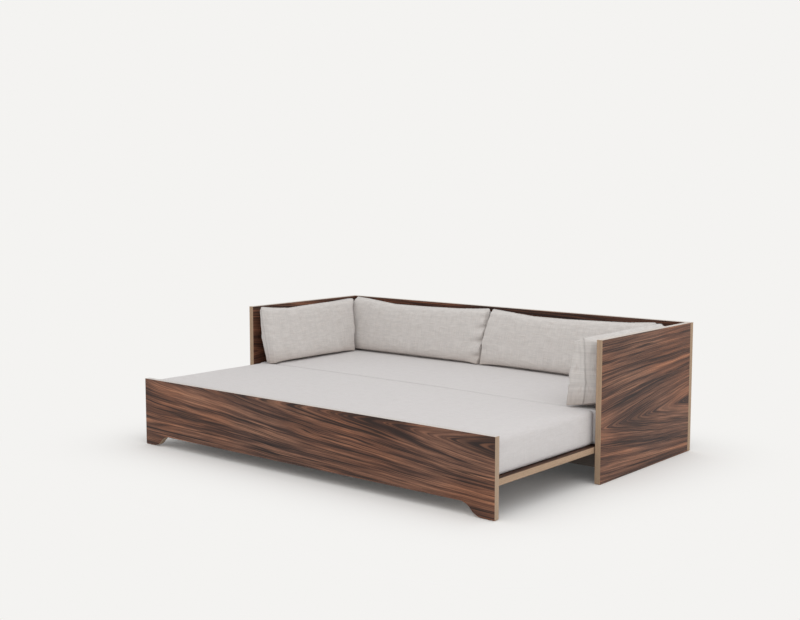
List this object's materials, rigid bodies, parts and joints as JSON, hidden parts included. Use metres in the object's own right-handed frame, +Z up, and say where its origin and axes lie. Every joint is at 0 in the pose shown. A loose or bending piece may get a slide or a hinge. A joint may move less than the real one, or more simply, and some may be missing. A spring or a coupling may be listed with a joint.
{
  "type": "sofa bed",
  "caption": "Sofa bed: walnut plywood side and back panels, a front that pulls out on interleaved slats, mattresses, and loose back and arm cushions.",
  "frame": {"origin": "on the floor, under the centre of the part with its front pulled out", "axes": "+X along the length to the right end seen from the front, +Y from the front panel to the back panel, +Z up"},
  "size_m": [2.08, 1.517, 0.6006],
  "materials": {
    "walnut_plywood": "matt oiled walnut veneer on multiply board, pale layered edges",
    "stained_plywood": "dark stain",
    "beech": "fluted dowel",
    "zinc_steel": "zinc plated",
    "glide_plastic": "waxy",
    "buffer_rubber": "matt",
    "floor_felt": "pressed felt",
    "mattress_linen": "fine warm grey linen weave",
    "cushion_linen": "slubby warm grey linen weave",
    "foam": "open-cell foam",
    "cushion_filling": "fibre fill"
  },
  "bodies": {
    "base": {"side_panel_left": "walnut_plywood", "side_panel_right": "walnut_plywood", "back_panel": "walnut_plywood", "front_rail": "stained_plywood", "glide_strip": "glide_plastic", "rear_ledger": "stained_plywood", "corner_block_left": "stained_plywood", "corner_block_right": "stained_plywood", "rail_foot_left": "stained_plywood", "rail_foot_right": "stained_plywood", "fixed_slat_1": "walnut_plywood", "fixed_slat_2": "walnut_plywood", "fixed_slat_3": "walnut_plywood", "fixed_slat_4": "walnut_plywood", "fixed_slat_5": "walnut_plywood", "fixed_slat_6": "walnut_plywood", "fixed_slat_7": "walnut_plywood", "fixed_slat_8": "walnut_plywood", "closing_buffers": "buffer_rubber", "base_floor_pads": "floor_felt", "connector_bolts": "zinc_steel", "cross_nuts": "zinc_steel", "back_dowels": "beech", "foot_dowels": "beech", "fixed_slat_screws": "zinc_steel", "ledger_screws": "zinc_steel", "corner_block_screws": "zinc_steel", "rear_mattress_cover": "mattress_linen", "rear_mattress_core": "foam"},
    "pull_out_front": {"front_panel": "walnut_plywood", "front_cleat": "stained_plywood", "moving_slat_1": "walnut_plywood", "moving_slat_2": "walnut_plywood", "moving_slat_3": "walnut_plywood", "moving_slat_4": "walnut_plywood", "moving_slat_5": "walnut_plywood", "moving_slat_6": "walnut_plywood", "moving_slat_7": "walnut_plywood", "moving_slat_8": "walnut_plywood", "moving_slat_9": "walnut_plywood", "stop_block_left": "stained_plywood", "stop_block_right": "stained_plywood", "moving_slat_screws": "zinc_steel", "stop_block_screws": "zinc_steel", "cleat_screws": "zinc_steel", "front_floor_pads": "floor_felt"},
    "front_mattress": {"front_mattress_cover": "mattress_linen", "front_mattress_core": "foam"},
    "back_cushion_left": {"back_cushion_left_cover": "cushion_linen", "back_cushion_left_fill": "cushion_filling"},
    "back_cushion_right": {"back_cushion_right_cover": "cushion_linen", "back_cushion_right_fill": "cushion_filling"},
    "arm_cushion_left": {"arm_cushion_left_cover": "cushion_linen", "arm_cushion_left_fill": "cushion_filling"},
    "arm_cushion_right": {"arm_cushion_right_cover": "cushion_linen", "arm_cushion_right_fill": "cushion_filling"}
  },
  "joints": [
    {"name": "front_slide", "type": "slide", "parent": "base", "child": "pull_out_front", "axis": [0, 1, 0], "range_m": [0, 0.7]},
    {"name": "front_mattress_lift", "type": "slide", "parent": "pull_out_front", "child": "front_mattress", "axis": [0, 0, 1], "range_m": [0, 0.1556], "deforming": ["front_mattress_cover", "front_mattress_core"]},
    {"name": "back_cushion_left_lift", "type": "slide", "parent": "base", "child": "back_cushion_left", "axis": [0, 0, 1], "range_m": [0, 0.1556]},
    {"name": "back_cushion_right_lift", "type": "slide", "parent": "base", "child": "back_cushion_right", "axis": [0, 0, 1], "range_m": [0, 0.1556]},
    {"name": "arm_cushion_left_lift", "type": "slide", "parent": "base", "child": "arm_cushion_left", "axis": [0, 0, 1], "range_m": [0, 0.1556]},
    {"name": "arm_cushion_right_lift", "type": "slide", "parent": "base", "child": "arm_cushion_right", "axis": [0, 0, 1], "range_m": [0, 0.1556]}
  ],
  "couplings": [
    {"joint": "front_mattress_lift", "follows": "front_slide", "ratio": 0.2221},
    {"joint": "back_cushion_left_lift", "follows": "front_slide", "ratio": 0.2221},
    {"joint": "back_cushion_right_lift", "follows": "front_slide", "ratio": 0.2221},
    {"joint": "arm_cushion_left_lift", "follows": "front_slide", "ratio": 0.2221},
    {"joint": "arm_cushion_right_lift", "follows": "front_slide", "ratio": 0.2221}
  ]
}
